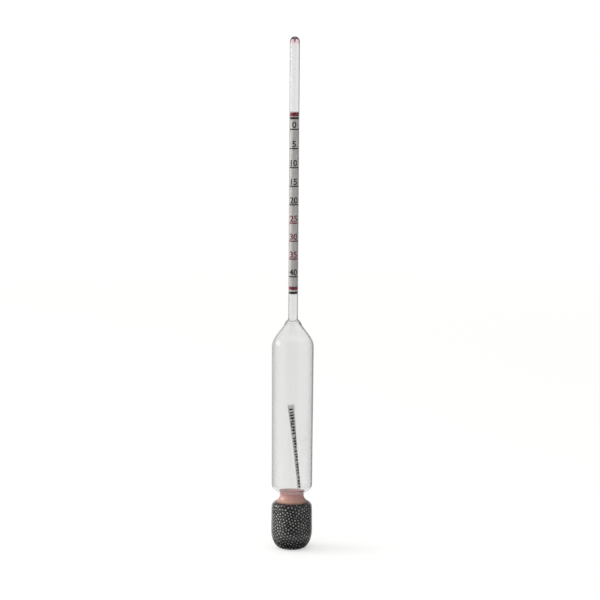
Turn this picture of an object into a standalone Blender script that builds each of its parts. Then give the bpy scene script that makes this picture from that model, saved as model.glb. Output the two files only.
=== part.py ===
"""Glass float hydrometer, 175 mm tall, standing on the flat foot of its ballast bulb.

The glass is turned about the Z axis, with the foot at z = 0: a ballast bulb, a float body with a conical
shoulder, a fused seam collar, a thin stem and the sealed tip. Inside are the rolled paper scale with its
two dabs of adhesive, a loose paper strip, and the resin plug that locks the charge of shot in the bulb.
"""
import math

import bmesh
import bpy
from mathutils import Matrix, Vector

MM = 0.001

# Clearance between pieces that touch in the real object.
GAP = 0.02 * MM
FIT = 0.06 * MM

# Heights above the foot.
TOTAL_Z = 175.0 * MM
DOME_Z = 173.3 * MM
TIP_Z = 171.8 * MM
PAPER_TOP_Z = 149.9 * MM
PAPER_BOTTOM_Z = 88.2 * MM
COLLAR_TOP_Z = 79.45 * MM
COLLAR_BOTTOM_Z = 77.4 * MM
CYLINDER_TOP_Z = 69.9 * MM
CORNER_Z = 22.2 * MM
NECK_Z = 18.5 * MM
RESIN_TOP_Z = 19.6 * MM
SHOT_TOP_Z = 16.2 * MM

# Outer radii of the glass.
STEM_TOP_R = 1.70 * MM
STEM_BOTTOM_R = 1.65 * MM
COLLAR_R = 3.12 * MM
BODY_TOP_R = 7.16 * MM
BODY_BOTTOM_R = 6.98 * MM
CORNER_R = 1.8 * MM
NECK_R = 4.1 * MM
BULB_R = 7.1 * MM
FOOT_R = 3.4 * MM
FOOT_RISE = 6.5 * MM

# Walls.
STEM_WALL = 0.20 * MM
TIP_WALL = 0.55 * MM
BODY_WALL = 0.36 * MM
BULB_WALL = 0.20 * MM

# Paper scale, rolled to a tube that stays open along its back.
PAPER_THICKNESS = 0.10 * MM
PAPER_SEAM_DEG = 30.0
DAB_WIDTH = 0.36 * MM
DAB_THICKNESS = 0.2 * MM
DAB_LENGTH = 1.6 * MM
DAB_INSET = 1.4 * MM

# Loose strip, leaning on the back of the body with its foot beside the resin.
STRIP_WIDTH = 2.4 * MM
STRIP_THICKNESS = 0.12 * MM
STRIP_FOOT = Vector((2.65, 2.6, 20.15)) * MM
STRIP_TOP = Vector((-0.55, 6.1, 48.9)) * MM
STRIP_FOOT_TURN = math.radians(62)
STRIP_TOP_TURN = math.radians(18)
STRIP_SEGMENTS = 14

# Facets around each turned piece.
BODY_STEPS = 36
FILL_STEPS = 24
STEM_STEPS = 24


def clear_scene():
    """Removes everything the startup file holds."""
    for ob in list(bpy.data.objects):
        bpy.data.objects.remove(ob, do_unlink=True)


def make_material(name, colour, roughness, metallic=0.0, transmission=0.0):
    """A Principled material with plain values."""
    mat = bpy.data.materials.new(name)
    mat.use_nodes = True
    shader = mat.node_tree.nodes["Principled BSDF"]
    shader.inputs["Base Color"].default_value = (*colour, 1.0)
    shader.inputs["Roughness"].default_value = roughness
    shader.inputs["Metallic"].default_value = metallic
    shader.inputs["Transmission Weight"].default_value = transmission
    mat.diffuse_color = (*colour, 1.0)
    return mat


def ellipse_arc(centre, radii, start_deg, end_deg, count):
    """count + 1 (radius, height) points along an ellipse, from start to end."""
    points = []
    for i in range(count + 1):
        angle = math.radians(start_deg + (end_deg - start_deg) * i / count)
        points.append((centre[0] + radii[0] * math.cos(angle), centre[1] + radii[1] * math.sin(angle)))
    return points


def inset(outline, distance):
    """The outline moved towards the axis, square to itself. It runs down the outer side."""
    out = []
    for i, (radius, height) in enumerate(outline):
        before = outline[max(i - 1, 0)]
        after = outline[min(i + 1, len(outline) - 1)]
        run = Vector((after[0] - before[0], after[1] - before[1])).normalized()
        out.append((max(radius + run.y * distance, 0.0), height - run.x * distance))
    return out


def radius_at(outline, height):
    """The outline's radius at a height, for an outline that runs down."""
    for (r0, z0), (r1, z1) in zip(outline, outline[1:]):
        if z0 >= height >= z1 and z0 > z1:
            return r0 + (r1 - r0) * (z0 - height) / (z0 - z1)
    raise ValueError("height is outside the outline")


def part_of(outline, top, bottom):
    """The stretch of an outline between two heights, with a point at each."""
    between = [(r, z) for r, z in outline if top > z > bottom]
    return [(radius_at(outline, top), top), *between, (radius_at(outline, bottom), bottom)]


def add_object(name, mesh, collection, material):
    """An object for the mesh, in the collection and with one material."""
    ob = bpy.data.objects.new(name, mesh)
    collection.objects.link(ob)
    mesh.materials.append(material)
    return ob


def smooth_shade(mesh):
    for polygon in mesh.polygons:
        polygon.use_smooth = True


def line_mesh(name, outline, closed=False):
    """An edge-only mesh in the XZ plane, for a Screw modifier to turn."""
    mesh = bpy.data.meshes.new(name)
    edges = [(i, i + 1) for i in range(len(outline) - 1)]
    if closed:
        edges.append((len(outline) - 1, 0))
    mesh.from_pydata([(radius, 0.0, height) for radius, height in outline], edges, [])
    return mesh


def turn(ob, steps, angle=math.tau):
    """Screws the object's profile about Z."""
    screw = ob.modifiers.new("Turn", "SCREW")
    screw.axis = "Z"
    screw.angle = angle
    screw.steps = steps
    screw.render_steps = steps
    screw.use_merge_vertices = True
    screw.merge_threshold = 0.001 * MM
    screw.use_smooth_shade = True
    return ob


def thicken(ob, thickness):
    """Gives an open surface a wall towards the axis."""
    wall = ob.modifiers.new("Wall", "SOLIDIFY")
    wall.thickness = thickness
    wall.offset = -1.0
    wall.use_even_offset = True
    wall.use_quality_normals = True
    return ob


def turned_shell(name, outline, wall, collection, material, steps):
    """A glass wall whose outer face is the turned outline."""
    ob = add_object(name, line_mesh(name, outline), collection, material)
    return thicken(turn(ob, steps), wall)


def turned_solid(name, outline, collection, material, steps, closed=False):
    """A solid of revolution. The outline starts and ends on the axis, or is a closed ring."""
    return turn(add_object(name, line_mesh(name, outline, closed), collection, material), steps)


def body_outline():
    """Outer face of the float body: conical shoulder, long cylinder, rounded corner, funnel to the neck."""
    shoulder = [
        (COLLAR_R, COLLAR_BOTTOM_Z - GAP),
        (5.85 * MM, 73.7 * MM),
        (6.66 * MM, 72.3 * MM),
        (7.05 * MM, 71.1 * MM),
        (BODY_TOP_R, CYLINDER_TOP_Z),
    ]
    corner = ellipse_arc((BODY_BOTTOM_R - CORNER_R, CORNER_Z), (CORNER_R, CORNER_R), 0, -62, 5)
    funnel = [(NECK_R + 0.3 * MM, 19.15 * MM), (NECK_R, NECK_Z + GAP)]
    return shoulder + corner + funnel


def bulb_outline():
    """Outer face of the ballast bulb: neck, rounded shoulder, barrel, elliptical corner, flat foot."""
    shoulder = [
        (NECK_R, NECK_Z - GAP),
        (4.35 * MM, 17.6 * MM),
        (5.2 * MM, 16.45 * MM),
        (6.3 * MM, 15.65 * MM),
        (6.85 * MM, 14.75 * MM),
        (7.0 * MM, 13.7 * MM),
    ]
    corner = ellipse_arc((FOOT_R, FOOT_RISE), (BULB_R - FOOT_R, FOOT_RISE), 0, -90, 8)
    return shoulder + corner + [(0.0, 0.0)]


def build_glass(collection, clear, rose):
    """The five fused pieces of the glass envelope."""
    dome = ellipse_arc((0.0, DOME_Z), (STEM_TOP_R, TOTAL_Z - DOME_Z), 90, 0, 6)
    tip = [(0.0, TOTAL_Z), *dome[1:], (STEM_TOP_R, TIP_Z + GAP)]
    turned_shell("stem_tip_seal", tip, TIP_WALL, collection, rose, STEM_STEPS)

    stem = [(STEM_TOP_R, TIP_Z - GAP), (STEM_BOTTOM_R, COLLAR_TOP_Z + GAP)]
    turned_shell("stem_tube", stem, STEM_WALL, collection, clear, STEM_STEPS)

    bore = STEM_BOTTOM_R - STEM_WALL
    collar = [
        (STEM_BOTTOM_R, COLLAR_TOP_Z),
        (2.15 * MM, 79.0 * MM),
        (2.62 * MM, 78.3 * MM),
        (COLLAR_R, COLLAR_BOTTOM_Z),
        (COLLAR_R - 0.9 * MM, COLLAR_BOTTOM_Z),
        (bore + 0.1 * MM, 78.2 * MM),
        (bore, COLLAR_TOP_Z),
    ]
    turned_solid("seam_collar", collar, collection, clear, STEM_STEPS, closed=True)

    turned_shell("float_body", body_outline(), BODY_WALL, collection, clear, BODY_STEPS)
    turned_shell("ballast_bulb", bulb_outline(), BULB_WALL, collection, clear, BODY_STEPS)


def build_ballast(collection, resin, shot):
    """The resin plug through the neck, and the packed charge of shot below it."""
    lining = inset(body_outline(), BODY_WALL + FIT)
    bowl = inset(bulb_outline(), BULB_WALL + FIT)
    sides = part_of(lining, RESIN_TOP_Z, lining[-1][1]) + part_of(bowl, bowl[0][1], SHOT_TOP_Z + GAP)
    edge = sides[0][0]
    meniscus = [
        (0.0, RESIN_TOP_Z - 0.35 * MM),
        (0.6 * edge, RESIN_TOP_Z - 0.31 * MM),
        (0.88 * edge, RESIN_TOP_Z - 0.18 * MM),
    ]
    plug = meniscus + sides + [(0.0, SHOT_TOP_Z + GAP)]
    turned_solid("resin_plug", plug, collection, resin, FILL_STEPS)

    floor = bowl[-1][1]
    charge = [(0.0, SHOT_TOP_Z - GAP)] + part_of(bowl, SHOT_TOP_Z - GAP, floor) + [(0.0, floor)]
    turned_solid("ballast_shot", charge, collection, shot, FILL_STEPS)


def build_scale(collection, paper, adhesive):
    """The rolled scale, open along its back, with a dab of adhesive in the seam near each end."""
    outer = STEM_BOTTOM_R - STEM_WALL - 0.5 * FIT
    sheet = [(outer, PAPER_TOP_Z), (outer, PAPER_BOTTOM_Z)]
    ob = add_object("scale_paper", line_mesh("scale_paper", sheet), collection, paper)
    wrap = math.radians(360.0 - PAPER_SEAM_DEG)
    turn(ob, STEM_STEPS, wrap)
    thicken(ob, PAPER_THICKNESS)
    # The seam is centred on +Y.
    ob.rotation_euler.z = math.radians(90.0 + 0.5 * PAPER_SEAM_DEG)

    places = {
        "scale_adhesive_upper": PAPER_TOP_Z - DAB_INSET,
        "scale_adhesive_lower": PAPER_BOTTOM_Z + DAB_INSET,
    }
    for name, height in places.items():
        mesh = bpy.data.meshes.new(name)
        bm = bmesh.new()
        bmesh.ops.create_uvsphere(bm, u_segments=12, v_segments=8, radius=0.5)
        bmesh.ops.scale(bm, vec=(DAB_WIDTH, DAB_THICKNESS, DAB_LENGTH), verts=bm.verts)
        bm.to_mesh(mesh)
        bm.free()
        smooth_shade(mesh)
        dab = add_object(name, mesh, collection, adhesive)
        dab.location = (0.0, outer - 0.5 * DAB_THICKNESS, height)


def build_strip(collection, paper):
    """The loose strip: a grid that twists along its length, thickened, leaning from its foot to its top."""
    length = (STRIP_TOP - STRIP_FOOT).length
    mesh = bpy.data.meshes.new("label_strip")
    bm = bmesh.new()
    bmesh.ops.create_grid(bm, x_segments=2, y_segments=STRIP_SEGMENTS, size=0.5)
    stand = Matrix.Rotation(math.radians(90.0), 3, "X")
    bmesh.ops.rotate(bm, matrix=stand, verts=bm.verts)
    bmesh.ops.scale(bm, vec=(STRIP_WIDTH, 1.0, length), verts=bm.verts)
    bmesh.ops.translate(bm, vec=(0.0, 0.0, 0.5 * length), verts=bm.verts)
    for vert in bm.verts:
        share = vert.co.z / length
        angle = STRIP_FOOT_TURN + (STRIP_TOP_TURN - STRIP_FOOT_TURN) * share
        vert.co = Matrix.Rotation(angle, 3, "Z") @ vert.co
    bm.to_mesh(mesh)
    bm.free()
    smooth_shade(mesh)
    ob = add_object("label_strip", mesh, collection, paper)
    sheet = ob.modifiers.new("Sheet", "SOLIDIFY")
    sheet.thickness = STRIP_THICKNESS
    sheet.offset = 0.0
    ob.location = STRIP_FOOT
    ob.rotation_mode = "QUATERNION"
    ob.rotation_quaternion = Vector((0.0, 0.0, 1.0)).rotation_difference(STRIP_TOP - STRIP_FOOT)


def main():
    clear_scene()
    collection = bpy.data.collections.new("hydrometer")
    bpy.context.scene.collection.children.link(collection)

    clear = make_material("clear_glass", (0.93, 0.94, 0.93), 0.02, transmission=1.0)
    rose = make_material("rose_glass", (0.72, 0.50, 0.52), 0.05, transmission=0.9)
    scale_paper = make_material("scale_paper", (0.80, 0.77, 0.76), 0.8)
    strip_paper = make_material("strip_paper", (0.74, 0.74, 0.73), 0.8)
    adhesive = make_material("adhesive", (0.85, 0.80, 0.70), 0.25)
    resin = make_material("copper_resin", (0.62, 0.33, 0.26), 0.35)
    shot = make_material("dark_shot", (0.05, 0.05, 0.055), 0.35, metallic=0.8)

    build_glass(collection, clear, rose)
    build_ballast(collection, resin, shot)
    build_scale(collection, scale_paper, adhesive)
    build_strip(collection, strip_paper)


main()
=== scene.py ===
"""The looks of the glass float hydrometer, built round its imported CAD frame.

Every length below is in millimetres and is scaled once, where a mesh is made. The glass is turned
about the Z axis with the foot at z = 0, and -Y is the front.
"""
import math
import random

import bmesh
import bpy
import numpy as np
from mathutils import Matrix, Vector, noise


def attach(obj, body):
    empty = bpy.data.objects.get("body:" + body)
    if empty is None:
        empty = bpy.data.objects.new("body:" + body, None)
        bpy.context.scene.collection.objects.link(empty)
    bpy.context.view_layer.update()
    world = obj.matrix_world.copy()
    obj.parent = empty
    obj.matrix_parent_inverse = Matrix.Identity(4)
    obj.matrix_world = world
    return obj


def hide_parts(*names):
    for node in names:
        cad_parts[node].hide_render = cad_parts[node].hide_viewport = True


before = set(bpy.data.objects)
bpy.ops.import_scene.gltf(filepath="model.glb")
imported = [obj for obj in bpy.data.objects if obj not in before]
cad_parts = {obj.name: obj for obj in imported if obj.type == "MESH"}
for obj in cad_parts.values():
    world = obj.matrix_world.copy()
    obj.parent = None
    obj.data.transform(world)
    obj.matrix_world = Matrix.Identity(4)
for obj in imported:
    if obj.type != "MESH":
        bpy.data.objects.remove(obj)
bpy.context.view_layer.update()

MM = 0.001

# ---------------------------------------------------------------- sizes, in mm
# Heights and radii of the glass, the paper scale and the plug, as in the CAD part.
TOTAL_Z = 175.0
DOME_Z = 173.3
TIP_Z = 171.8
PAPER_TOP_Z = 149.9
PAPER_BOTTOM_Z = 88.2
COLLAR_TOP_Z = 79.45
COLLAR_BOTTOM_Z = 77.4
CYLINDER_TOP_Z = 69.9
CORNER_Z = 22.2
NECK_Z = 18.5
RESIN_TOP_Z = 19.6
SHOT_TOP_Z = 16.2
STEM_TOP_R = 1.70
STEM_BOTTOM_R = 1.65
COLLAR_R = 3.12
BODY_TOP_R = 7.16
BODY_BOTTOM_R = 6.98
CORNER_R = 1.8
NECK_R = 4.1
BULB_R = 7.1
FOOT_R = 3.4
FOOT_RISE = 6.5

# The shoulder's curve ends here, and the float body tapers from here down.
TAPER_TOP_Z = 67.0

# Wall of the glass at heights going down.
WALLS = [
    (172.0, 0.20), (81.0, 0.20), (79.3, 0.30), (77.6, 0.42), (75.5, 0.36), (24.0, 0.36),
    (21.0, 0.38), (18.5, 0.40), (16.6, 0.24), (15.4, 0.20), (3.0, 0.17), (0.0, 0.14),
]
GLASS_STEPS = 112
GLASS_POINT_GAP = 0.35
STEM_PARTS = 40
CYLINDER_PARTS = 16
GLASS_SHARP = math.radians(50)
GLASS_IOR = 1.5

# The foot is dished: (radius, height) points of its outer and inner face, ending on the axis.
FOOT_INSIDE_Z = 0.32
DISH_OUTSIDE = [(2.2, 0.03), (1.2, 0.12), (0.0, 0.15)]
DISH_INSIDE = [(1.6, 0.28), (0.0, FOOT_INSIDE_Z)]
DISH_INSIDE_R = 0.4

# The fused seam's rings: height, and how far each stands out.
RINGS = [(79.2, 0.12), (78.55, 0.13), (77.9, 0.12)]
RING_WIDTH = 0.15
RING_POINT_GAP = 0.05
RINGS_END_Z = 77.0
# Below the rings only every fourth point is kept.
POINTS_PER_KEPT = 4

# The tip: straight up to TIP_STRAIGHT_Z, and a hair above the stem that it is sealed to.
TIP_STRAIGHT_Z = 172.6
TIP_GAP = 0.02

# Rolled paper scale and its print.
PAPER_R = 1.42
PAPER_THICKNESS = 0.10
PAPER_SEAM_DEG = 30.0
PAPER_WOBBLE = 0.012
PAPER_COLUMNS = 64
PAPER_ROWS = 120
PAPER_SHARP = math.radians(40)
INK_SEAM_MARGIN = math.radians(0.5)
INK_LIFT = 0.004
INK_THICKNESS = 0.006
TICK_HEIGHT = 0.42
NUMERAL_HEIGHT = 2.15
NUMERAL_GAP = 0.22
NUMERAL_BOLD = 0.018
NUMERAL_SPACING = 0.98
# A numeral is cut into upright slices this far apart, so that it can bend round the paper.
NUMERAL_REACH = 1.5
NUMERAL_SLICE = 0.15
SCALE_ZERO_Z = 144.0
SCALE_FORTY_Z = 94.18
RED_MARKS = (25, 30, 35)
BLACK_BANDS = [(148.13, 147.39), (89.08, 88.28)]
RED_BANDS = [(149.62, 148.40), (90.80, 89.70)]

# Dabs of gum that hold the scale's ends.
GUM_FROM_END = 1.4
GUM_STRETCH = (0.42, 0.2, 1.6)
GUM_LUMPS = 0.16

# Loose strip, and the upright stems of the marks printed on it.
STRIP_WIDTH = 2.4
STRIP_THICKNESS = 0.12
STRIP_FOOT = Vector((2.65, 2.6, 20.15))
STRIP_TOP = Vector((-0.55, 6.1, 48.9))
STRIP_FOOT_TURN = math.radians(64)
STRIP_TOP_TURN = math.radians(18)
STRIP_TWIST = 2.6
STRIP_CURL = 0.10
STRIP_SEED = 5
STRIP_STEM = 0.34
STRIP_STEM_LIFT = 0.003

# Resin: how deep it soaks into the shot, how uneven its two faces are, and how far into the wall
# its sides lie, as a share of the wall.
SOAK_DEPTH = 0.4
SOAK = 0.22
RESIN_RIPPLE = 0.03
RESIN_SHARP = math.radians(35)
RESIN_WETTING = 0.6

# Shot, and the rounds that settle it. The last STILL_ROUNDS are without shaking.
SHOT_R = 0.53
SHOT_SPREAD = 0.035
SHOT_COUNT = 1640
SHOT_SEED = 11
SHOT_HEADROOM = 0.05
SETTLE_ROUNDS = 420
STILL_ROUNDS = 120
NEIGHBOUR_ROUNDS = 8
NEIGHBOUR_REACH = 2.7
SHAKE_STEP = 0.012
SHAKE_CENTRE_Z = 8.0

# Camera, fitted to the photograph's framing.
CAMERA_BACK = 620.0
CAMERA_SIDE = 2.35
CAMERA_HEIGHT = 157.0
CAMERA_PITCH = math.radians(6.523)
CAMERA_ROLL = math.radians(0.42)
SENSOR = 36.0
LENS = 109.94

# Studio: strengths of the white sweep and the floor, and the two lamps.
SWEEP = 1.02
SWEEP_TOP = 0.40
FLOOR_R = 4000.0
FLOOR_BOUNCE = 1.0
FLOOR_GLOW = 0.46
FAR_FLOOR_GLOW = 0.56
# The light from below is cut off this near the foot, and is whole again this far out.
FOOT_SHADE = (4.0, 26.0)
OVERHEAD_IN_GLOSS = 0.4
LAMP_AIM = Vector((0.0, 0.0, 60.0))
KEY_PLACE = Vector((-630.0, 60.0, 270.0))
KEY_SIZE = (420.0, 270.0)
KEY_POWER = 1.30
FILL_PLACE = Vector((-150.0, -800.0, 420.0))
FILL_SIZE = (600.0, 600.0)
FILL_POWER = 1.25


# ---------------------------------------------------------------- mesh helpers
def to_object(name, bm, material, body, smooth=True):
    """Turns a bmesh in mm into a piece in metres that rides on a body."""
    bmesh.ops.scale(bm, vec=(MM, MM, MM), verts=bm.verts)
    mesh = bpy.data.meshes.new(name)
    bm.to_mesh(mesh)
    bm.free()
    for polygon in mesh.polygons:
        polygon.use_smooth = smooth
    piece = bpy.data.objects.new(name, mesh)
    bpy.context.scene.collection.objects.link(piece)
    mesh.materials.append(material)
    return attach(piece, body)


def turned(outline, steps):
    """A bmesh of a closed outline of (radius, height) points, turned about Z.

    The outline runs down the outer side and back up the inner one.
    """
    bm = bmesh.new()
    rings = []
    for radius, height in outline:
        if radius < 1e-6:
            rings.append([bm.verts.new((0.0, 0.0, height))])
            continue
        angles = [math.tau * k / steps for k in range(steps)]
        rings.append([
            bm.verts.new((radius * math.cos(angle), radius * math.sin(angle), height))
            for angle in angles
        ])
    for upper, lower in zip(rings, rings[1:] + rings[:1]):
        if len(upper) == 1 and len(lower) == 1:
            continue
        for k in range(steps):
            after = (k + 1) % steps
            corners = [
                upper[k % len(upper)], lower[k % len(lower)],
                lower[after % len(lower)], upper[after % len(upper)],
            ]
            bm.faces.new(list(dict.fromkeys(corners)))
    return bm


def smooth_line(points, gap):
    """Points about gap apart on a smooth curve (centripetal Catmull-Rom) through the given points."""
    pts = [Vector(p) for p in points]
    pts = [2 * pts[0] - pts[1]] + pts + [2 * pts[-1] - pts[-2]]
    out = []
    for p0, p1, p2, p3 in zip(pts, pts[1:], pts[2:], pts[3:]):
        t0 = 0.0
        t1 = t0 + math.sqrt((p1 - p0).length)
        t2 = t1 + math.sqrt((p2 - p1).length)
        t3 = t2 + math.sqrt((p3 - p2).length)
        count = max(1, round((p2 - p1).length / gap))
        for i in range(count):
            t = t1 + (t2 - t1) * i / count
            a1 = p0.lerp(p1, (t - t0) / (t1 - t0))
            a2 = p1.lerp(p2, (t - t1) / (t2 - t1))
            a3 = p2.lerp(p3, (t - t2) / (t3 - t2))
            b1 = a1.lerp(a2, (t - t0) / (t2 - t0))
            b2 = a2.lerp(a3, (t - t1) / (t3 - t1))
            out.append(tuple(b1.lerp(b2, (t - t1) / (t2 - t1))))
    return out + [tuple(pts[-2])]


def arc(centre, radii, start_deg, end_deg, count):
    """count + 1 (radius, height) points along an ellipse."""
    return [
        (centre[0] + radii[0] * math.cos(a), centre[1] + radii[1] * math.sin(a))
        for a in (math.radians(start_deg + (end_deg - start_deg) * i / count) for i in range(count + 1))
    ]


def inset(outline, distance_at):
    """The outline moved square to itself towards the axis, by a distance that depends on the height."""
    out = []
    for i, (radius, height) in enumerate(outline):
        before = outline[max(i - 1, 0)]
        after = outline[min(i + 1, len(outline) - 1)]
        run = Vector((after[0] - before[0], after[1] - before[1])).normalized()
        distance = distance_at(height)
        out.append((max(radius + run.y * distance, 0.0), height - run.x * distance))
    return out


def radius_at(outline, height):
    """The outline's radius at a height, for an outline that runs down."""
    for (r0, z0), (r1, z1) in zip(outline, outline[1:]):
        if z0 >= height >= z1 and z0 > z1:
            return r0 + (r1 - r0) * (z0 - height) / (z0 - z1)
    raise ValueError("height is outside the outline")


def wall_at(height):
    """The glass wall at a height."""
    for (z0, w0), (z1, w1) in zip(WALLS, WALLS[1:]):
        if z0 >= height >= z1:
            return w0 + (w1 - w0) * (z0 - height) / (z0 - z1)
    return WALLS[0][1] if height > WALLS[0][0] else WALLS[-1][1]


# ---------------------------------------------------------------- material helpers
def new_tree(name):
    """A new material's node tree with an output and a Principled shader."""
    mat = bpy.data.materials.new(name)
    mat.use_nodes = True
    nt = mat.node_tree
    nt.nodes.clear()
    out = nt.nodes.new("ShaderNodeOutputMaterial")
    shader = nt.nodes.new("ShaderNodeBsdfPrincipled")
    nt.links.new(shader.outputs[0], out.inputs["Surface"])
    return mat, nt, shader, out


def noise_at(nt, scale, detail=3.0, stretch=(1.0, 1.0, 1.0), rough=0.55):
    """Noise on object coordinates, scale in cycles per metre."""
    coords = nt.nodes.new("ShaderNodeTexCoord")
    mapping = nt.nodes.new("ShaderNodeMapping")
    mapping.inputs["Scale"].default_value = stretch
    tex = nt.nodes.new("ShaderNodeTexNoise")
    tex.inputs["Scale"].default_value = scale
    tex.inputs["Detail"].default_value = detail
    tex.inputs["Roughness"].default_value = rough
    nt.links.new(coords.outputs["Object"], mapping.inputs["Vector"])
    nt.links.new(mapping.outputs["Vector"], tex.inputs["Vector"])
    return tex.outputs["Fac"]


def height_of(nt):
    """The surface point's height in mm."""
    coords = nt.nodes.new("ShaderNodeTexCoord")
    split = nt.nodes.new("ShaderNodeSeparateXYZ")
    scale = nt.nodes.new("ShaderNodeMath")
    scale.operation = "DIVIDE"
    scale.inputs[1].default_value = MM
    nt.links.new(coords.outputs["Object"], split.inputs[0])
    nt.links.new(split.outputs["Z"], scale.inputs[0])
    return scale.outputs[0]


def from_axis(nt):
    """The surface point's distance from the Z axis in mm."""
    coords = nt.nodes.new("ShaderNodeTexCoord")
    flat = nt.nodes.new("ShaderNodeVectorMath")
    flat.operation = "MULTIPLY"
    flat.inputs[1].default_value = (1.0 / MM, 1.0 / MM, 0.0)
    length = nt.nodes.new("ShaderNodeVectorMath")
    length.operation = "LENGTH"
    nt.links.new(coords.outputs["Object"], flat.inputs[0])
    nt.links.new(flat.outputs[0], length.inputs[0])
    return length.outputs["Value"]


def spread(nt, value, low_in, high_in, low_out, high_out, smooth=False):
    """Maps a value from one range to another, clamped."""
    node = nt.nodes.new("ShaderNodeMapRange")
    node.interpolation_type = "SMOOTHSTEP" if smooth else "LINEAR"
    nt.links.new(value, node.inputs["Value"])
    node.inputs["From Min"].default_value = low_in
    node.inputs["From Max"].default_value = high_in
    node.inputs["To Min"].default_value = low_out
    node.inputs["To Max"].default_value = high_out
    return node.outputs["Result"]


def ramp(nt, value, stops):
    """A colour ramp of (place, (r, g, b)) stops."""
    node = nt.nodes.new("ShaderNodeValToRGB")
    elements = node.color_ramp.elements
    while len(elements) < len(stops):
        elements.new(0.5)
    for element, (place, colour) in zip(elements, stops):
        element.position = place
        element.color = (*colour, 1.0)
    nt.links.new(value, node.inputs["Fac"])
    return node.outputs["Color"]


def mix_colour(nt, factor, first, second, kind="MIX"):
    """A mix of two colours, each a socket or three numbers."""
    node = nt.nodes.new("ShaderNodeMix")
    node.data_type = "RGBA"
    node.blend_type = kind
    for socket, value in ((node.inputs[0], factor), (node.inputs[6], first), (node.inputs[7], second)):
        if isinstance(value, bpy.types.NodeSocket):
            nt.links.new(value, socket)
        elif isinstance(value, tuple):
            socket.default_value = (*value, 1.0)
        else:
            socket.default_value = value
    return node.outputs[2]


def bump(nt, shader, height, strength, distance_mm):
    """Feeds a height into the shader's normal."""
    node = nt.nodes.new("ShaderNodeBump")
    node.inputs["Strength"].default_value = strength
    node.inputs["Distance"].default_value = distance_mm * MM
    nt.links.new(height, node.inputs["Height"])
    nt.links.new(node.outputs["Normal"], shader.inputs["Normal"])


def let_lamps_through(nt, shader, out, tint):
    """Lamps shine through the glass, as they do through a real thin wall."""
    path = nt.nodes.new("ShaderNodeLightPath")
    clear = nt.nodes.new("ShaderNodeBsdfTransparent")
    clear.inputs["Color"].default_value = (*tint, 1.0)
    mix = nt.nodes.new("ShaderNodeMixShader")
    nt.links.new(path.outputs["Is Shadow Ray"], mix.inputs[0])
    nt.links.new(shader.outputs[0], mix.inputs[1])
    nt.links.new(clear.outputs[0], mix.inputs[2])
    nt.links.new(mix.outputs[0], out.inputs["Surface"])


# ---------------------------------------------------------------- materials
def clear_glass():
    """Drawn glass: a slight grey tint, faint lengthwise cords and a little haze."""
    mat, nt, shader, out = new_tree("clear_glass")
    cords = noise_at(nt, 900.0, 2.0, (1.0, 1.0, 0.03))
    haze = noise_at(nt, 260.0, 4.0, (1.0, 1.0, 0.5))
    tint = ramp(nt, cords, [(0.30, (0.886, 0.889, 0.889)), (0.70, (0.911, 0.913, 0.913))])
    nt.links.new(tint, shader.inputs["Base Color"])
    nt.links.new(spread(nt, haze, 0.35, 0.75, 0.0, 0.015), shader.inputs["Roughness"])
    shader.inputs["IOR"].default_value = GLASS_IOR
    shader.inputs["Transmission Weight"].default_value = 1.0
    bump(nt, shader, cords, 0.05, 0.02)
    let_lamps_through(nt, shader, out, (0.93, 0.935, 0.93))
    return mat


def rose_glass():
    """The sealed tip: rose in the thick dome, fading to clear where it meets the stem."""
    mat, nt, shader, out = new_tree("rose_glass")
    height = height_of(nt)
    fade = spread(nt, height, 172.0, 172.9, 0.0, 1.0, smooth=True)
    swirl = noise_at(nt, 700.0, 2.0)
    pale = ramp(nt, swirl, [(0.3, (0.90, 0.77, 0.79)), (0.7, (0.94, 0.84, 0.86))])
    edge = nt.nodes.new("ShaderNodeLayerWeight")
    edge.inputs["Blend"].default_value = 0.5
    thick = spread(nt, edge.outputs["Facing"], 0.35, 0.90, 0.0, 1.0)
    rim = mix_colour(nt, thick, pale, (0.34, 0.24, 0.25))
    blob = spread(nt, height, 174.0, 174.6, 0.0, 1.0, smooth=True)
    deep = mix_colour(nt, blob, rim, (0.09, 0.055, 0.055))
    # The drop of glass that hangs inside the dome is the darkest rose.
    drop = spread(nt, from_axis(nt), 0.20, 0.45, 1.0, 0.0, smooth=True)
    deep = mix_colour(nt, drop, deep, (0.30, 0.13, 0.14))
    nt.links.new(mix_colour(nt, fade, (0.90, 0.905, 0.895), deep), shader.inputs["Base Color"])
    nt.links.new(spread(nt, swirl, 0.3, 0.8, 0.0, 0.02), shader.inputs["Roughness"])
    shader.inputs["IOR"].default_value = GLASS_IOR
    shader.inputs["Transmission Weight"].default_value = 1.0
    bump(nt, shader, swirl, 0.05, 0.02)
    let_lamps_through(nt, shader, out, (0.88, 0.80, 0.81))
    return mat


def paper(name, dark, light, see_through=0.0):
    """Uncoated paper: fine fibres and slight mottling. see_through: how much light each face passes."""
    mat, nt, shader, _out = new_tree(name)
    fibres = noise_at(nt, 2600.0, 5.0, (1.0, 1.0, 0.45), 0.65)
    clouds = noise_at(nt, 240.0, 3.0)
    tone = ramp(nt, fibres, [(0.25, dark), (0.75, light)])
    aged = mix_colour(nt, spread(nt, clouds, 0.35, 0.7, 0.0, 0.35), tone, (0.82, 0.78, 0.75))
    nt.links.new(aged, shader.inputs["Base Color"])
    nt.links.new(spread(nt, fibres, 0.3, 0.7, 0.7, 0.95), shader.inputs["Roughness"])
    shader.inputs["Transmission Weight"].default_value = see_through
    shader.inputs["IOR"].default_value = 1.3
    bump(nt, shader, fibres, 0.35, 0.02)
    return mat


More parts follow.
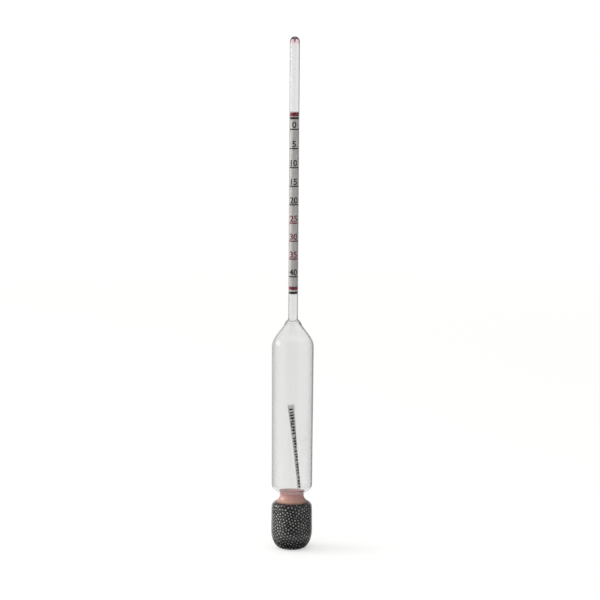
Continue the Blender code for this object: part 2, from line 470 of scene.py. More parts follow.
def ink(name, dark, light):
    """Printing ink: slightly uneven, a little glossier than the paper."""
    mat, nt, shader, _out = new_tree(name)
    grain = noise_at(nt, 5200.0, 3.0)
    nt.links.new(ramp(nt, grain, [(0.3, dark), (0.8, light)]), shader.inputs["Base Color"])
    nt.links.new(spread(nt, grain, 0.3, 0.7, 0.5, 0.75), shader.inputs["Roughness"])
    shader.inputs["Specular IOR Level"].default_value = 0.1
    bump(nt, shader, grain, 0.08, 0.01)
    return mat


def adhesive():
    """Dried gum, amber and slightly crazed."""
    mat, nt, shader, _out = new_tree("adhesive")
    clouds = noise_at(nt, 1800.0, 4.0)
    amber = ramp(nt, clouds, [(0.25, (0.60, 0.42, 0.20)), (0.8, (0.80, 0.66, 0.42))])
    nt.links.new(amber, shader.inputs["Base Color"])
    nt.links.new(spread(nt, clouds, 0.3, 0.7, 0.15, 0.4), shader.inputs["Roughness"])
    shader.inputs["Subsurface Weight"].default_value = 0.3
    shader.inputs["Subsurface Radius"].default_value = (0.5, 0.3, 0.15)
    shader.inputs["Subsurface Scale"].default_value = 0.3 * MM
    bump(nt, shader, clouds, 0.3, 0.03)
    return mat


def copper_resin():
    """Rosy copper-brown resin: cloudy, paler above, browner where it soaks into the shot."""
    mat, nt, shader, _out = new_tree("copper_resin")
    height = height_of(nt)
    clouds = noise_at(nt, 330.0, 4.0)
    streaks = noise_at(nt, 1500.0, 3.0, (1.0, 1.0, 0.5))
    depth = spread(nt, height, SHOT_TOP_Z - 0.1, RESIN_TOP_Z, 0.0, 1.0)
    body = ramp(nt, depth, [
        (0.00, (0.05, 0.025, 0.018)), (0.06, (0.46, 0.22, 0.14)), (0.20, (0.99, 0.64, 0.51)),
        (0.60, (0.98, 0.57, 0.53)), (0.86, (0.82, 0.43, 0.44)), (1.00, (0.86, 0.59, 0.60)),
    ])
    varied = mix_colour(nt, spread(nt, clouds, 0.35, 0.7, 0.0, 0.5), body, (0.99, 0.69, 0.58))
    streaked = mix_colour(nt, spread(nt, streaks, 0.45, 0.75, 0.0, 0.2), varied, (0.55, 0.24, 0.22))
    nt.links.new(streaked, shader.inputs["Base Color"])
    nt.links.new(spread(nt, clouds, 0.3, 0.7, 0.22, 0.42), shader.inputs["Roughness"])
    shader.inputs["Subsurface Weight"].default_value = 0.15
    shader.inputs["Subsurface Radius"].default_value = (1.0, 0.45, 0.35)
    shader.inputs["Subsurface Scale"].default_value = 0.8 * MM
    shader.inputs["IOR"].default_value = 1.5
    bump(nt, shader, streaks, 0.15, 0.05)
    return mat


def dark_shot():
    """Graphited steel shot: each ball has its own shade, small scuffs and a painted highlight by the
    glass.
    """
    mat, nt, shader, _out = new_tree("dark_shot")
    tone = nt.nodes.new("ShaderNodeAttribute")
    tone.attribute_name = "tone"
    facing_out = nt.nodes.new("ShaderNodeAttribute")
    facing_out.attribute_name = "outward"
    scuffs = noise_at(nt, 4200.0, 3.0)
    shade = ramp(nt, tone.outputs["Fac"], [
        (0.0, (0.004, 0.004, 0.004)), (0.6, (0.012, 0.012, 0.013)), (1.0, (0.040, 0.039, 0.038)),
    ])
    worn = mix_colour(nt, spread(nt, scuffs, 0.5, 0.75, 0.0, 0.3), shade, (0.05, 0.05, 0.05))
    # A painted highlight: a pale patch where the ball faces the glass. Darker balls have a smaller one.
    glint_reach = nt.nodes.new("ShaderNodeMath")
    glint_reach.operation = "MULTIPLY_ADD"
    glint_reach.inputs[1].default_value = 0.05
    nt.links.new(tone.outputs["Fac"], glint_reach.inputs[0])
    nt.links.new(facing_out.outputs["Fac"], glint_reach.inputs[2])
    painted_glint = spread(nt, glint_reach.outputs[0], 0.88, 0.965, 0.0, 1.0, smooth=True)
    pale = ramp(nt, tone.outputs["Fac"], [(0.0, (0.45, 0.45, 0.44)), (0.6, (0.95, 0.95, 0.93))])
    nt.links.new(mix_colour(nt, painted_glint, worn, pale), shader.inputs["Base Color"])
    shader.inputs["Specular IOR Level"].default_value = 0.25
    nt.links.new(spread(nt, scuffs, 0.3, 0.7, 0.30, 0.42), shader.inputs["Roughness"])
    bump(nt, shader, scuffs, 0.15, 0.02)
    return mat


# ---------------------------------------------------------------- glass
def stem_and_body_outline():
    """Outer face of the glass from under the tip to the foot, without the seam's rings."""
    stem = [
        (
            STEM_TOP_R + (STEM_BOTTOM_R - STEM_TOP_R) * i / STEM_PARTS,
            TIP_Z + (COLLAR_TOP_Z - TIP_Z) * i / STEM_PARTS,
        )
        for i in range(STEM_PARTS)
    ]
    shoulder = smooth_line([
        (STEM_BOTTOM_R, COLLAR_TOP_Z), (2.18, 79.0), (2.62, 78.3), (COLLAR_R, COLLAR_BOTTOM_Z),
        (5.85, 73.7), (6.66, 72.3), (7.05, 71.1), (BODY_TOP_R, CYLINDER_TOP_Z), (BODY_TOP_R, TAPER_TOP_Z),
    ], RING_POINT_GAP)
    shoulder = [
        p for i, p in enumerate(shoulder) if p[1] > RINGS_END_Z or i % POINTS_PER_KEPT == 0
    ]
    cylinder = [
        (
            BODY_TOP_R + (BODY_BOTTOM_R - BODY_TOP_R) * i / CYLINDER_PARTS,
            TAPER_TOP_Z + (CORNER_Z - TAPER_TOP_Z) * i / CYLINDER_PARTS,
        )
        for i in range(1, CYLINDER_PARTS)
    ]
    corner = arc((BODY_BOTTOM_R - CORNER_R, CORNER_Z), (CORNER_R, CORNER_R), 0, -60, 4)
    neck = [
        (4.50, 19.35), (NECK_R, NECK_Z), (4.35, 17.6), (5.3, 16.5), (6.5, 15.8), (6.96, 14.85),
        (7.05, 13.7),
    ]
    lower = smooth_line(corner + neck, GLASS_POINT_GAP)
    foot = arc((FOOT_R, FOOT_RISE), (BULB_R - FOOT_R, FOOT_RISE), 0, -90, 22)
    return stem + shoulder + cylinder + lower + [(BULB_R - 0.02, 10.5)] + foot


def ring_rise(height):
    """How far the fused seam's rings stand out of the glass."""
    rise = 0.0
    for centre, size in RINGS:
        rise += size * math.exp(-((height - centre) / RING_WIDTH) ** 2)
    return rise


def build_glass(glass, rose):
    """The clear envelope in one fused piece, and the rose tip sealed on top of it."""
    plain = stem_and_body_outline()
    outer = [(radius + ring_rise(height), height) for radius, height in plain]
    inner = [p for p in inset(plain, wall_at) if p[0] > DISH_INSIDE_R]
    # The foot is dished a little, so it stands on a ring.
    outer += DISH_OUTSIDE
    inner += DISH_INSIDE
    piece = to_object("glass_envelope", turned(outer + inner[::-1], GLASS_STEPS), glass, "envelope")
    piece.data.set_sharp_from_angle(angle=GLASS_SHARP)
    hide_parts("stem_tube", "seam_collar", "float_body", "ballast_bulb")

    dome = arc((0.0, DOME_Z), (STEM_TOP_R, TOTAL_Z - DOME_Z), 90, 0, 18)
    outside = [(0.0, TOTAL_Z)] + dome[1:]
    outside += [(STEM_TOP_R, TIP_STRAIGHT_Z), (STEM_TOP_R, TIP_Z + TIP_GAP)]
    bore = STEM_TOP_R - wall_at(TIP_Z)
    # Inside, the dome comes down again into a drop of glass that hangs on the axis.
    inside = smooth_line([
        (bore, TIP_Z + TIP_GAP), (bore, TIP_STRAIGHT_Z), (1.43, 173.3), (1.22, 173.95), (0.88, 174.32),
        (0.50, 174.30), (0.30, 173.95), (0.20, 173.55), (0.10, 173.25),
    ], 0.1)
    inside += [(0.0, 173.15)]
    piece = to_object("glass_tip", turned(outside + inside, GLASS_STEPS), rose, "envelope")
    piece.data.set_sharp_from_angle(angle=GLASS_SHARP)
    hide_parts("stem_tip_seal")
    return plain


# ---------------------------------------------------------------- paper scale
def add_rolled(bm, inner, outer, bottom, top, half_angle, columns, rows, wobble=0.0):
    """Adds a closed curved slab to the bmesh, centred on the front (-Y)."""
    grids = []
    for radius in (inner, outer):
        grid = []
        for j in range(rows + 1):
            height = bottom + (top - bottom) * j / rows
            row = []
            for i in range(columns + 1):
                angle = half_angle * (2.0 * i / columns - 1.0)
                r = radius + wobble * noise.noise(Vector((3.0 * angle, 0.11 * height, 7.0)))
                row.append(bm.verts.new((r * math.sin(angle), -r * math.cos(angle), height)))
            grid.append(row)
        grids.append(grid)
    inside, outside = grids
    for j in range(rows):
        for i in range(columns):
            bm.faces.new([outside[j][i], outside[j][i + 1], outside[j + 1][i + 1], outside[j + 1][i]])
            bm.faces.new([inside[j][i], inside[j + 1][i], inside[j + 1][i + 1], inside[j][i + 1]])
    # The four edges.
    for i in range(columns):
        bm.faces.new([inside[0][i], inside[0][i + 1], outside[0][i + 1], outside[0][i]])
        bm.faces.new([inside[rows][i], outside[rows][i], outside[rows][i + 1], inside[rows][i + 1]])
    for j in range(rows):
        bm.faces.new([inside[j][0], outside[j][0], outside[j + 1][0], inside[j + 1][0]])
        bm.faces.new([
            inside[j][columns], inside[j + 1][columns], outside[j + 1][columns], outside[j][columns]])


def add_numeral(bm, text, bottom, height, radius):
    """Adds a number to the bmesh, bent round the front of the paper."""
    curve = bpy.data.curves.new("numeral", "FONT")
    curve.body = text
    curve.align_x = "CENTER"
    curve.resolution_u = 6
    curve.offset = NUMERAL_BOLD
    curve.space_character = NUMERAL_SPACING
    ob = bpy.data.objects.new("numeral", curve)
    bpy.context.scene.collection.objects.link(ob)
    bpy.context.view_layer.update()
    flat = bmesh.new()
    flat.from_mesh(ob.to_mesh())
    ob.to_mesh_clear()
    bpy.data.objects.remove(ob)
    bpy.data.curves.remove(curve)
    across = [v.co.x for v in flat.verts]
    rise = [v.co.y for v in flat.verts]
    low = min(rise)
    size = height / (max(rise) - low)
    middle = 0.5 * (max(across) + min(across))
    for v in flat.verts:
        v.co = Vector(((v.co.x - middle) * size, 0.0, bottom + (v.co.y - low) * size))
    bmesh.ops.remove_doubles(flat, verts=flat.verts, dist=1e-4)
    cut = -NUMERAL_REACH
    while cut < NUMERAL_REACH:
        bmesh.ops.bisect_plane(
            flat, geom=flat.verts[:] + flat.edges[:] + flat.faces[:],
            plane_co=(cut, 0.0, 0.0), plane_no=(1.0, 0.0, 0.0))
        cut += NUMERAL_SLICE
    bmesh.ops.dissolve_degenerate(flat, edges=flat.edges, dist=0.001)
    front = {}
    back = {}
    for v in flat.verts:
        angle = v.co.x / radius
        for found, r in ((front, radius + INK_THICKNESS), (back, radius)):
            found[v] = bm.verts.new((r * math.sin(angle), -r * math.cos(angle), v.co.z))
    flat.normal_update()
    for face in flat.faces:
        loop = list(face.verts) if face.normal.y < 0 else list(face.verts)[::-1]
        bm.faces.new([front[v] for v in loop])
        bm.faces.new([back[v] for v in loop[::-1]])
        for a, b in zip(loop, loop[1:] + loop[:1]):
            edge = flat.edges.get((a, b))
            if edge is not None and len(edge.link_faces) == 1:
                bm.faces.new([front[b], front[a], back[a], back[b]])
    flat.free()


def build_scale(paper_look, black, red, gum):
    """The rolled scale with its print, and the gum that holds its ends."""
    half = math.radians(0.5 * (360.0 - PAPER_SEAM_DEG))
    bm = bmesh.new()
    add_rolled(
        bm, PAPER_R - PAPER_THICKNESS, PAPER_R, PAPER_BOTTOM_Z, PAPER_TOP_Z, half,
        PAPER_COLUMNS, PAPER_ROWS, PAPER_WOBBLE)
    piece = to_object("paper_scale", bm, paper_look, "envelope")
    piece.data.set_sharp_from_angle(angle=PAPER_SHARP)
    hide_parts("scale_paper")

    prints = {"black": bmesh.new(), "red": bmesh.new()}
    low = PAPER_R + PAPER_WOBBLE + INK_LIFT
    high = low + INK_THICKNESS
    ink_half = half - INK_SEAM_MARGIN
    for key, bands in (("black", BLACK_BANDS), ("red", RED_BANDS)):
        for top, bottom in bands:
            add_rolled(prints[key], low, high, bottom, top, ink_half, PAPER_COLUMNS, 2)
    for mark in range(0, 41, 5):
        # Lengths on the stem go with the inverse of the specific gravity, 1.000 to 1.040.
        share = (1.0 - 1.0 / (1.0 + mark / 1000.0)) / (1.0 - 1.0 / 1.04)
        height = SCALE_ZERO_Z + (SCALE_FORTY_Z - SCALE_ZERO_Z) * share
        key = "red" if mark in RED_MARKS else "black"
        tick_top = height + 0.5 * TICK_HEIGHT
        add_rolled(
            prints[key], low, high, height - 0.5 * TICK_HEIGHT, tick_top, ink_half, PAPER_COLUMNS, 1)
        add_numeral(prints[key], str(mark), tick_top + NUMERAL_GAP, NUMERAL_HEIGHT, low)
    for key, look in (("black", black), ("red", red)):
        bmesh.ops.recalc_face_normals(prints[key], faces=prints[key].faces)
        piece = to_object("print_" + key, prints[key], look, "envelope", smooth=False)

    for name, node, height in (
        ("gum_upper", "scale_adhesive_upper", PAPER_TOP_Z - GUM_FROM_END),
        ("gum_lower", "scale_adhesive_lower", PAPER_BOTTOM_Z + GUM_FROM_END),
    ):
        bm = bmesh.new()
        bmesh.ops.create_icosphere(bm, subdivisions=4, radius=0.5)
        for v in bm.verts:
            v.co *= 1.0 + GUM_LUMPS * noise.noise(v.co * 3.0 + Vector((0.0, 0.0, height)))
            v.co = Vector((
                GUM_STRETCH[0] * v.co.x,
                PAPER_R - PAPER_THICKNESS + GUM_STRETCH[1] * v.co.y,
                height + GUM_STRETCH[2] * v.co.z,
            ))
        piece = to_object(name, bm, gum, "envelope")
        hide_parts(node)


# ---------------------------------------------------------------- loose strip
def strip_frame(share):
    """Middle of the strip and its two cross directions at a share of its length, foot to top."""
    along = (STRIP_TOP - STRIP_FOOT).normalized()
    lean = Vector((0.0, 0.0, 1.0)).rotation_difference(along)
    angle = STRIP_FOOT_TURN + (STRIP_TOP_TURN - STRIP_FOOT_TURN) * share ** STRIP_TWIST
    turn = Matrix.Rotation(angle, 3, "Z")
    middle = STRIP_FOOT.lerp(STRIP_TOP, share)
    return middle, lean @ (turn @ Vector((1.0, 0.0, 0.0))), lean @ (turn @ Vector((0.0, 1.0, 0.0)))


def strip_point(share, across, out):
    """A point on the strip: across from -0.5 to 0.5 of its width, and out of its middle plane in mm."""
    middle, side, face = strip_frame(share)
    curl = STRIP_CURL * (4.0 * across * across - 0.5)
    return middle + side * (across * STRIP_WIDTH) + face * (out + curl)


def add_slab(bm, share_low, share_high, across_low, across_high, out_low, out_high, columns, rows):
    """Adds a closed slab that follows the strip, between the given shares, widths and depths."""
    grids = []
    for out in (out_low, out_high):
        grids.append([
            [
                bm.verts.new(strip_point(
                    share_low + (share_high - share_low) * j / rows,
                    across_low + (across_high - across_low) * i / columns, out))
                for i in range(columns + 1)
            ]
            for j in range(rows + 1)
        ])
    lower, upper = grids
    for j in range(rows):
        for i in range(columns):
            bm.faces.new([lower[j][i], lower[j][i + 1], lower[j + 1][i + 1], lower[j + 1][i]])
            bm.faces.new([upper[j][i], upper[j + 1][i], upper[j + 1][i + 1], upper[j][i + 1]])
    for i in range(columns):
        bm.faces.new([lower[0][i], upper[0][i], upper[0][i + 1], lower[0][i + 1]])
        bm.faces.new([lower[rows][i], lower[rows][i + 1], upper[rows][i + 1], upper[rows][i]])
    for j in range(rows):
        bm.faces.new([lower[j][0], lower[j + 1][0], upper[j + 1][0], upper[j][0]])
        bm.faces.new([
            lower[j][columns], upper[j][columns], upper[j + 1][columns], lower[j + 1][columns]])


def build_strip(paper_look, black):
    """The twisted loose strip and a generic run of printed bars and blocks along it."""
    bm = bmesh.new()
    half = 0.5 * STRIP_THICKNESS
    add_slab(bm, 0.0, 1.0, -0.5, 0.5, -half, half, 10, 90)
    bmesh.ops.recalc_face_normals(bm, faces=bm.faces)
    piece = to_object("loose_strip", bm, paper_look, "strip")
    piece.data.set_sharp_from_angle(angle=PAPER_SHARP)
    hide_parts("label_strip")

    bm = bmesh.new()
    rng = random.Random(STRIP_SEED)
    length = (STRIP_TOP - STRIP_FOOT).length
    under = -half - INK_LIFT
    ink_out = (under - INK_THICKNESS, under)
    stem = STRIP_STEM / STRIP_WIDTH
    along = 0.35
    count = 0
    while along < length - 1.7:
        # Towards the top the column of marks is narrow and keeps to one side.
        share = along / length
        left = -0.36
        right = 0.38 - 0.26 * max(0.0, (share - 0.78) / 0.22)
        bar = rng.choice((0.44, 0.52, 0.60))
        low = left + rng.choice((0.0, 0.0, 0.12))
        high = right - rng.choice((0.0, 0.0, 0.12))
        add_slab(bm, share, (along + bar) / length, low, high, *ink_out, 6, 1)
        pitch = rng.choice((0.98, 1.04, 1.10))
        for side in rng.choice(((left,), (right - stem,), (0.5 * (left + right - stem),), (), ())):
            add_slab(
                bm, (along + 0.5 * bar) / length, (along + pitch + 0.1) / length, side, side + stem,
                ink_out[0] - STRIP_STEM_LIFT, ink_out[1] - STRIP_STEM_LIFT, 2, 2)
        count += 1
        along += pitch + (0.55 if count % 4 == 0 and share < 0.6 else 0.0)
    bmesh.ops.recalc_face_normals(bm, faces=bm.faces)
    piece = to_object("strip_print", bm, black, "strip", smooth=False)


# ---------------------------------------------------------------- resin and shot
def build_resin(plain, resin):
    """The resin plug. Its sides lie within the glass wall, so it looks wetted to the glass."""
    wetted = inset(plain, lambda z: RESIN_WETTING * wall_at(z))
    sides = [(r, z) for r, z in wetted if RESIN_TOP_Z > z > SHOT_TOP_Z]
    top = radius_at(wetted, RESIN_TOP_Z)
    low = radius_at(wetted, SHOT_TOP_Z)
    meniscus = smooth_line([
        (0.0, RESIN_TOP_Z - 0.36), (0.45 * top, RESIN_TOP_Z - 0.33), (0.75 * top, RESIN_TOP_Z - 0.24),
        (0.92 * top, RESIN_TOP_Z - 0.10), (top, RESIN_TOP_Z),
    ], 0.3)
    under = [
        (low, SHOT_TOP_Z), (0.9 * low, SHOT_TOP_Z - 0.25), (0.5 * low, SHOT_TOP_Z - 0.3),
        (0.0, SHOT_TOP_Z - 0.3),
    ]
    bm = turned(meniscus + sides + under, GLASS_STEPS)
    for v in bm.verts:
        angle = math.atan2(v.co.y, v.co.x)
        if v.co.z < SHOT_TOP_Z + SOAK_DEPTH:
            soak = noise.noise(Vector((2.2 * math.cos(angle), 2.2 * math.sin(angle), 3.0)))
            v.co.z += SOAK * soak * min(1.0, (SHOT_TOP_Z + SOAK_DEPTH - v.co.z) / SOAK_DEPTH)
        elif v.co.z > RESIN_TOP_Z - 0.5 and math.hypot(v.co.x, v.co.y) < 0.97 * top:
            v.co.z += RESIN_RIPPLE * noise.noise(v.co * 0.9)
    piece = to_object("resin_fill", bm, resin, "envelope")
    piece.data.set_sharp_from_angle(angle=RESIN_SHARP)
    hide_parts("resin_plug")


def push_inside(points, limit):
    """Moves ball centres that are outside the limit, an outline of (radius, height), back onto it.

    Returns how far each centre was from the limit.
    """
    radius = np.hypot(points[:, 0], points[:, 1])
    start, end = limit[:-1], limit[1:]
    run = end - start
    length = (run ** 2).sum(1)
    flat = np.stack([radius, points[:, 2]], 1)
    offset = flat[:, None, :] - start[None, :, :]
    share = np.clip((offset * run[None]).sum(2) / length[None], 0.0, 1.0)
    nearest = start[None] + share[..., None] * run[None]
    apart = ((flat[:, None, :] - nearest) ** 2).sum(2)
    best = apart.argmin(1)
    rows = np.arange(len(points))
    hit = nearest[rows, best]
    along = run[best]
    side = along[:, 0] * (flat[:, 1] - hit[:, 1]) - along[:, 1] * (flat[:, 0] - hit[:, 0])
    out = side < 0
    scale = np.where(radius > 1e-6, hit[:, 0] / np.maximum(radius, 1e-6), 0.0)
    points[out, 0] *= scale[out]
    points[out, 1] *= scale[out]
    points[out, 2] = hit[out, 1]
    return np.sqrt(apart[rows, best])


def settle_shot(plain):
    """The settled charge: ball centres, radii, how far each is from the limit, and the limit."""
    rng = np.random.default_rng(SHOT_SEED)
    radii = SHOT_R * (1.0 + SHOT_SPREAD * rng.standard_normal(SHOT_COUNT).clip(-2, 2))
    top = SHOT_TOP_Z - SHOT_HEADROOM
    bowl = inset(plain, lambda z: wall_at(z) + SHOT_R)
    bowl = [(r, z) for r, z in bowl if z < top - SHOT_R and r > 0.5]
    limit = [(0.0, top - SHOT_R), (bowl[0][0], top - SHOT_R)] + bowl + [(0.0, FOOT_INSIDE_Z + SHOT_R)]
    limit = np.array(limit)[::-1]
    z = rng.uniform(1.2, top - 0.6, SHOT_COUNT)
    angle = rng.uniform(0.0, math.tau, SHOT_COUNT)
    r = 6.2 * np.sqrt(rng.uniform(0.0, 1.0, SHOT_COUNT))
    points = np.stack([r * np.cos(angle), r * np.sin(angle), z], 1)
    push_inside(points, limit)
    for step in range(SETTLE_ROUNDS):
        if step % NEIGHBOUR_ROUNDS == 0:
            apart = ((points[:, None, :] - points[None, :, :]) ** 2).sum(2)
            first, second = np.nonzero(np.triu(apart < (NEIGHBOUR_REACH * SHOT_R) ** 2, 1))
            reach = radii[first] + radii[second]
        gap = points[first] - points[second]
        length = np.maximum(np.sqrt((gap ** 2).sum(1)), 1e-6)
        push = 0.5 * np.maximum(reach - length, 0.0) / length
        move = gap * push[:, None]
        shift = np.zeros_like(points)
        count = np.ones(len(points))
        for axis in range(3):
            shift[:, axis] = (
                np.bincount(first, move[:, axis], SHOT_COUNT)
                - np.bincount(second, move[:, axis], SHOT_COUNT))
        touching = push > 0
        count += 0.35 * (
            np.bincount(first[touching], minlength=SHOT_COUNT)
            + np.bincount(second[touching], minlength=SHOT_COUNT))
        points += 1.5 * shift / count[:, None]
        if step < SETTLE_ROUNDS - STILL_ROUNDS:
            # Shaking drives the balls out against the glass.
            way_out = np.stack(
                [points[:, 0], points[:, 1], 0.45 * (points[:, 2] - SHAKE_CENTRE_Z)], 1)
            points += SHAKE_STEP * way_out / np.maximum(np.linalg.norm(way_out, axis=1), 0.3)[:, None]
        away = push_inside(points, limit)
    return points, radii, away, limit


def outward(centre, limit):
    """The direction from a ball's centre square to the nearest stretch of the limit."""
    radius = math.hypot(centre[0], centre[1])
    best = None
    for (r0, z0), (r1, z1) in zip(limit[:-1], limit[1:]):
        run = Vector((r1 - r0, z1 - z0))
        share = ((radius - r0) * run.x + (centre[2] - z0) * run.y) / run.length_squared
        share = min(max(share, 0.0), 1.0)
        apart = math.hypot(r0 + run.x * share - radius, z0 + run.y * share - centre[2])
        if best is None or apart < best[0]:
            best = (apart, run)
    run = best[1].normalized()
    across = Vector((1.0, 0.0, 0.0))
    if radius > 1e-6:
        across = Vector((centre[0], centre[1], 0.0)).normalized()
    return across * run.y + Vector((0.0, 0.0, -run.x))


def ball_template(columns, rows):
    """Unit sphere as vertex positions and faces."""
    verts = [(0.0, 0.0, 1.0)]
    for j in range(1, rows):
        tilt = math.pi * j / rows
        verts += [
            (math.sin(tilt) * math.cos(angle), math.sin(tilt) * math.sin(angle), math.cos(tilt))
            for angle in (math.tau * i / columns for i in range(columns))
        ]
    verts.append((0.0, 0.0, -1.0))
    faces = [(0, 1 + i, 1 + (i + 1) % columns) for i in range(columns)]
    for j in range(rows - 2):
        base = 1 + j * columns
        faces += [
            (base + i, base + columns + i, base + columns + (i + 1) % columns, base + (i + 1) % columns)
            for i in range(columns)
        ]
    last = len(verts) - 1
    base = 1 + (rows - 2) * columns
    faces += [(base + (i + 1) % columns, base + i, last) for i in range(columns)]
    return np.array(verts), faces


def build_shot(plain, look):
    """The charge of balls. The ones by the glass are rounder than those that nobody sees."""
    points, radii, away, limit = settle_shot(plain)
    rng = random.Random(SHOT_SEED)
    fine = ball_template(12, 8)
    coarse = ball_template(8, 5)
    verts, faces, tones, outs = [], [], [], []
    for centre, radius, depth in zip(points, radii, away):
        shape, shape_faces = fine if depth < 1.3 * SHOT_R else coarse
        out = outward(centre, limit)
        spin = Matrix.Rotation(rng.uniform(0, math.tau), 3, "Z")
        turn = np.array(out.to_track_quat("Z", "Y").to_matrix() @ spin)
        start = len(verts)
        placed = (shape @ turn.T) * radius + centre
        verts += placed.tolist()
        faces += [tuple(start + k for k in face) for face in shape_faces]
        tones += [rng.random()] * len(shape)
        # How squarely each point faces the glass; the shader paints a highlight where it does.
        outs += shape[:, 2].tolist() if shape is fine[0] else [0.0] * len(shape)
    mesh = bpy.data.meshes.new("shot_charge")
    mesh.from_pydata([(x * MM, y * MM, z * MM) for x, y, z in verts], [], faces)
    for name, values in (("tone", tones), ("outward", outs)):
        attribute = mesh.attributes.new(name, "FLOAT", "POINT")
        attribute.data.foreach_set("value", values)
    for polygon in mesh.polygons:
        polygon.use_smooth = True
    mesh.materials.append(look)
    piece = bpy.data.objects.new("shot_charge", mesh)
    bpy.context.scene.collection.objects.link(piece)
    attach(piece, "envelope")
    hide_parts("ballast_shot")


# ---------------------------------------------------------------- studio
def straight_ray(nt):
    """1 for a ray that comes from the camera, or through glass without a reflection or a bounce."""
    path = nt.nodes.new("ShaderNodeLightPath")
    add = nt.nodes.new("ShaderNodeMath")
    add.operation = "ADD"
    below = nt.nodes.new("ShaderNodeMath")
    below.operation = "LESS_THAN"
    below.inputs[1].default_value = 0.5
    nt.links.new(path.outputs["Diffuse Depth"], add.inputs[0])
    nt.links.new(path.outputs["Glossy Depth"], add.inputs[1])
    nt.links.new(add.outputs[0], below.inputs[0])
    return below.outputs[0]


def seen_straight(nt, rise):
    """Strength of the white sweep for straight rays.

    Rays that the glass bends upwards see past its top, where it is darker.
    """
    path = nt.nodes.new("ShaderNodeLightPath")
    bent = nt.nodes.new("ShaderNodeMath")
    bent.operation = "GREATER_THAN"
    bent.inputs[1].default_value = 0.5
    nt.links.new(path.outputs["Transmission Depth"], bent.inputs[0])
    mix = nt.nodes.new("ShaderNodeMix")
    mix.data_type = "FLOAT"
    mix.inputs[2].default_value = SWEEP
    nt.links.new(bent.outputs[0], mix.inputs[0])
    nt.links.new(spread(nt, rise, 0.10, 0.50, SWEEP, SWEEP_TOP), mix.inputs[3])
    return mix.outputs[0]


def lobe(nt, direction, sharpness, strength):
    """Light from round one direction: strength at its middle, falling off all the way round."""
    coords = nt.nodes.new("ShaderNodeTexCoord")
    dot = nt.nodes.new("ShaderNodeVectorMath")
    dot.operation = "DOT_PRODUCT"
    dot.inputs[1].default_value = Vector(direction).normalized()
    half = nt.nodes.new("ShaderNodeMath")
    half.operation = "MULTIPLY_ADD"
    half.inputs[1].default_value = 0.5
    half.inputs[2].default_value = 0.5
    power = nt.nodes.new("ShaderNodeMath")
    power.operation = "POWER"
    power.inputs[1].default_value = sharpness
    gain = nt.nodes.new("ShaderNodeMath")
    gain.operation = "MULTIPLY"
    gain.inputs[1].default_value = strength
    nt.links.new(coords.outputs["Generated"], dot.inputs[0])
    nt.links.new(dot.outputs["Value"], half.inputs[0])
    nt.links.new(half.outputs[0], power.inputs[0])
    nt.links.new(power.outputs[0], gain.inputs[0])
    return gain.outputs[0]


def dimmed_in_gloss(nt, light):
    """The light from overhead is soft and dim where a surface mirrors it."""
    path = nt.nodes.new("ShaderNodeLightPath")
    dim = nt.nodes.new("ShaderNodeMath")
    dim.operation = "MULTIPLY"
    nt.links.new(light, dim.inputs[0])
    share = spread(nt, path.outputs["Is Glossy Ray"], 0.0, 1.0, 1.0, OVERHEAD_IN_GLOSS)
    nt.links.new(share, dim.inputs[1])
    return dim.outputs[0]


def build_world():
    """A white sweep behind everything, in a studio that is darker to the front and to the right."""
    world = bpy.data.worlds.new("studio")
    bpy.context.scene.world = world
    world.use_nodes = True
    nt = world.node_tree
    background = nt.nodes["Background"]
    # Direction, sharpness, strength, and whether it is dimmed in reflections. The last one is the
    # same from everywhere.
    lobes = (
        ((-0.2, 1.0, -0.10), 9.0, 0.60, False),
        ((-1.0, -0.30, -0.05), 7.0, 0.75, False),
        ((-0.2, 0.2, 1.0), 4.0, 0.60, True),
        ((0.85, -0.55, 0.25), 5.0, 0.45, False),
        ((0.0, 0.0, 1.0), 0.0, 0.07, False),
    )
    # Below the horizon is the white floor that the object stands on.
    coords = nt.nodes.new("ShaderNodeTexCoord")
    split = nt.nodes.new("ShaderNodeSeparateXYZ")
    nt.links.new(coords.outputs["Generated"], split.inputs[0])
    total = spread(nt, split.outputs["Z"], -0.62, -0.22, FLOOR_BOUNCE, 0.0, smooth=True)
    for direction, sharpness, strength, dimmed in lobes:
        light = lobe(nt, direction, sharpness, strength)
        if dimmed:
            light = dimmed_in_gloss(nt, light)
        add = nt.nodes.new("ShaderNodeMath")
        add.operation = "ADD"
        nt.links.new(total, add.inputs[0])
        nt.links.new(light, add.inputs[1])
        total = add.outputs[0]
    mix = nt.nodes.new("ShaderNodeMix")
    mix.data_type = "FLOAT"
    nt.links.new(straight_ray(nt), mix.inputs[0])
    nt.links.new(total, mix.inputs[2])
    nt.links.new(seen_straight(nt, split.outputs["Z"]), mix.inputs[3])
    nt.links.new(mix.outputs[0], background.inputs["Strength"])
    background.inputs["Color"].default_value = (1.0, 1.0, 0.995, 1.0)
    # Rays find this light by themselves. Picked as a lamp, it would be read one bounce early.
    world.cycles.sampling_method = "NONE"


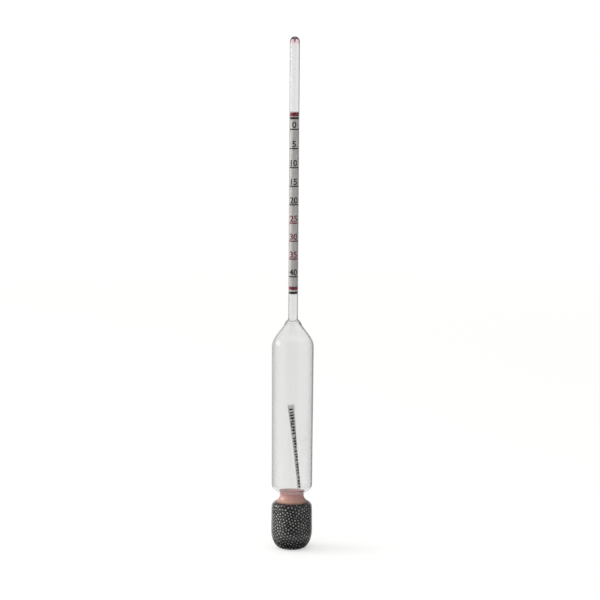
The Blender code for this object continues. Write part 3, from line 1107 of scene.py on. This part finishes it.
def build_floor():
    """A pale floor. Only straight rays see it; the studio's own light stands in for its bounce."""
    bm = bmesh.new()
    bmesh.ops.create_circle(bm, cap_ends=True, segments=96, radius=FLOOR_R)
    bmesh.ops.scale(bm, vec=(MM, MM, MM), verts=bm.verts)
    mesh = bpy.data.meshes.new("floor")
    bm.to_mesh(mesh)
    bm.free()
    floor = bpy.data.objects.new("floor", mesh)
    bpy.context.scene.collection.objects.link(floor)
    mat = bpy.data.materials.new("floor")
    mat.use_nodes = True
    nt = mat.node_tree
    nt.nodes.clear()
    out = nt.nodes.new("ShaderNodeOutputMaterial")
    diffuse = nt.nodes.new("ShaderNodeBsdfDiffuse")
    diffuse.inputs["Color"].default_value = (0.84, 0.835, 0.82, 1.0)
    coords = nt.nodes.new("ShaderNodeTexCoord")
    reach = nt.nodes.new("ShaderNodeVectorMath")
    reach.operation = "LENGTH"
    nt.links.new(coords.outputs["Object"], reach.inputs[0])
    glow = nt.nodes.new("ShaderNodeEmission")
    glow.inputs["Color"].default_value = (1.0, 1.0, 1.0, 1.0)
    strength = spread(nt, reach.outputs["Value"], 0.1, 1.5, FLOOR_GLOW, FAR_FLOOR_GLOW, smooth=True)
    nt.links.new(strength, glow.inputs["Strength"])
    both = nt.nodes.new("ShaderNodeAddShader")
    nt.links.new(diffuse.outputs[0], both.inputs[0])
    nt.links.new(glow.outputs[0], both.inputs[1])
    # Other rays see the studio's light from below, which is cut off close to the foot.
    clear = nt.nodes.new("ShaderNodeBsdfTransparent")
    near, far = FOOT_SHADE
    shade = spread(nt, reach.outputs["Value"], near * MM, far * MM, 0.04, 1.0, smooth=True)
    nt.links.new(shade, clear.inputs["Color"])
    mix = nt.nodes.new("ShaderNodeMixShader")
    nt.links.new(straight_ray(nt), mix.inputs[0])
    nt.links.new(clear.outputs[0], mix.inputs[1])
    nt.links.new(both.outputs[0], mix.inputs[2])
    nt.links.new(mix.outputs[0], out.inputs["Surface"])
    mesh.materials.append(mat)
    mat.cycles.emission_sampling = "NONE"
    floor.visible_shadow = False


def area_lamp(name, place, size, power, mirrored):
    """An area lamp in mm that faces the object. mirrored: whether it shows in reflections."""
    light = bpy.data.lights.new(name, "AREA")
    light.shape = "RECTANGLE"
    light.size = size[0] * MM
    light.size_y = size[1] * MM
    light.energy = power
    light.color = (1.0, 0.99, 0.97)
    lamp = bpy.data.objects.new(name, light)
    bpy.context.scene.collection.objects.link(lamp)
    turn = (LAMP_AIM - place).to_track_quat("-Z", "Y").to_matrix().to_4x4()
    lamp.matrix_world = Matrix.Translation(place * MM) @ turn
    lamp.visible_camera = False
    lamp.visible_transmission = False
    lamp.visible_glossy = mirrored


def build_lights():
    """A large soft key from the left, a little above, and a fill from the front that nothing mirrors."""
    area_lamp("key", KEY_PLACE, KEY_SIZE, KEY_POWER, mirrored=True)
    area_lamp("fill", FILL_PLACE, FILL_SIZE, FILL_POWER, mirrored=False)


def build_camera():
    """A long lens in front of the object, looking down a little, and the plain view transform."""
    camera = bpy.data.cameras.new("camera")
    camera.sensor_width = SENSOR
    camera.lens = LENS
    camera.clip_start = 0.01
    ob = bpy.data.objects.new("camera", camera)
    bpy.context.scene.collection.objects.link(ob)
    place = Matrix.Translation(Vector((CAMERA_SIDE, -CAMERA_BACK, CAMERA_HEIGHT)) * MM)
    tilt = Matrix.Rotation(math.radians(90.0) - CAMERA_PITCH, 4, "X")
    ob.matrix_world = place @ tilt @ Matrix.Rotation(CAMERA_ROLL, 4, "Z")
    bpy.context.scene.camera = ob
    bpy.context.scene.view_settings.view_transform = "Standard"


build_camera()
build_world()
build_floor()
build_lights()
glass_outline = build_glass(clear_glass(), rose_glass())
black_ink = ink("black_ink", (0.006, 0.005, 0.005), (0.022, 0.020, 0.020))
red_ink = ink("red_ink", (0.26, 0.005, 0.024), (0.34, 0.012, 0.042))
scale_paper = paper("scale_paper", (0.80, 0.77, 0.76), (0.95, 0.92, 0.91))
build_scale(scale_paper, black_ink, red_ink, adhesive())
strip_paper = paper("strip_paper", (0.80, 0.80, 0.79), (0.93, 0.93, 0.92), see_through=0.70)
build_strip(strip_paper, black_ink)
build_resin(glass_outline, copper_resin())
build_shot(glass_outline, dark_shot())
